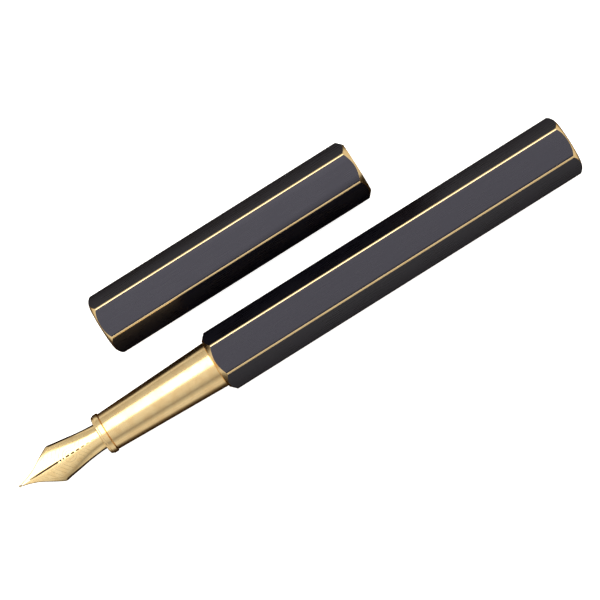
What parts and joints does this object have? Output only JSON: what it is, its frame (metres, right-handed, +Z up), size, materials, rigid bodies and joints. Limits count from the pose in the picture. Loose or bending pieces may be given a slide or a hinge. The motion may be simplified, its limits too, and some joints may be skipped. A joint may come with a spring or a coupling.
{
  "type": "fountain pen",
  "caption": "Hexagonal metal fountain pen lying uncapped beside its cap, with a tapered round grip, an open nib and a twist converter inside.",
  "frame": {"origin": "centre of the footprint of the pen and the cap on the surface they lie on", "axes": "+X along both pieces, from the nib towards the barrel's rear end; +Y from the pen to the cap; +Z up, square to the flats that the two hexagons rest on"},
  "size_m": [0.1238, 0.03, 0.011],
  "materials": {
    "black_lacquer": "satin black lacquer on brass, worn to bare brass along the long edges and the turned ends",
    "satin_brass": "turned and lightly brushed brass",
    "gold_plate": "gold-plated steel, polished, with fine engraved lines",
    "tipping_alloy": "ground and polished hard alloy",
    "black_plastic": "moulded black plastic",
    "clear_plastic": "clear moulded plastic",
    "polished_chrome": "polished chrome plate",
    "black_rubber": "moulded rubber",
    "liner_plastic": "matt moulded plastic",
    "spring_steel": "bright spring wire"
  },
  "bodies": {
    "barrel": {"barrel_shell": "black_lacquer"},
    "seal_ring": {"section_o_ring": "black_rubber"},
    "section": {"section_grip": "satin_brass", "section_ring": "satin_brass"},
    "nib_unit": {"nib_housing": "black_plastic", "feed": "black_plastic", "nib": "gold_plate", "tipping_left": "tipping_alloy", "tipping_right": "tipping_alloy"},
    "converter": {"converter_tube": "clear_plastic", "converter_band": "polished_chrome", "spindle_nut": "black_plastic"},
    "knob": {"converter_knob": "polished_chrome", "knob_core": "black_plastic"},
    "piston": {"piston_rod": "black_plastic", "piston_seal": "black_rubber"},
    "cap": {"cap_shell": "black_lacquer", "cap_liner": "liner_plastic", "cap_snap_ring": "spring_steel"}
  },
  "joints": [
    {"name": "section_pull", "type": "slide", "parent": "barrel", "child": "seal_ring", "axis": [-1, 0, 0], "range_m": [0, 0.075]},
    {"name": "section_turn", "type": "hinge", "parent": "seal_ring", "child": "section", "pos_m": [-0.0176, -0.00875, 0.0055], "axis": [-1, 0, 0], "range_deg": [0, 1620]},
    {"name": "nib_unit_pull", "type": "slide", "parent": "section", "child": "nib_unit", "axis": [-1, 0, 0], "range_m": [0, 0.022]},
    {"name": "converter_pull", "type": "slide", "parent": "section", "child": "converter", "axis": [1, 0, 0], "range_m": [0, 0.006]},
    {"name": "knob_turn", "type": "hinge", "parent": "converter", "child": "knob", "pos_m": [0.03, -0.00875, 0.0055], "axis": [1, 0, 0], "range_deg": [0, 1800]},
    {"name": "piston_slide", "type": "slide", "parent": "converter", "child": "piston", "axis": [-1, 0, 0], "range_m": [0, 0.02]},
    {"name": "cap_pull", "type": "slide", "parent": "barrel", "child": "cap", "axis": [-1, 0, 0], "range_m": [0, 0.046]}
  ],
  "couplings": [
    {"joint": "knob_turn", "follows": "piston_slide", "rad_per_m": 1570.8}
  ]
}
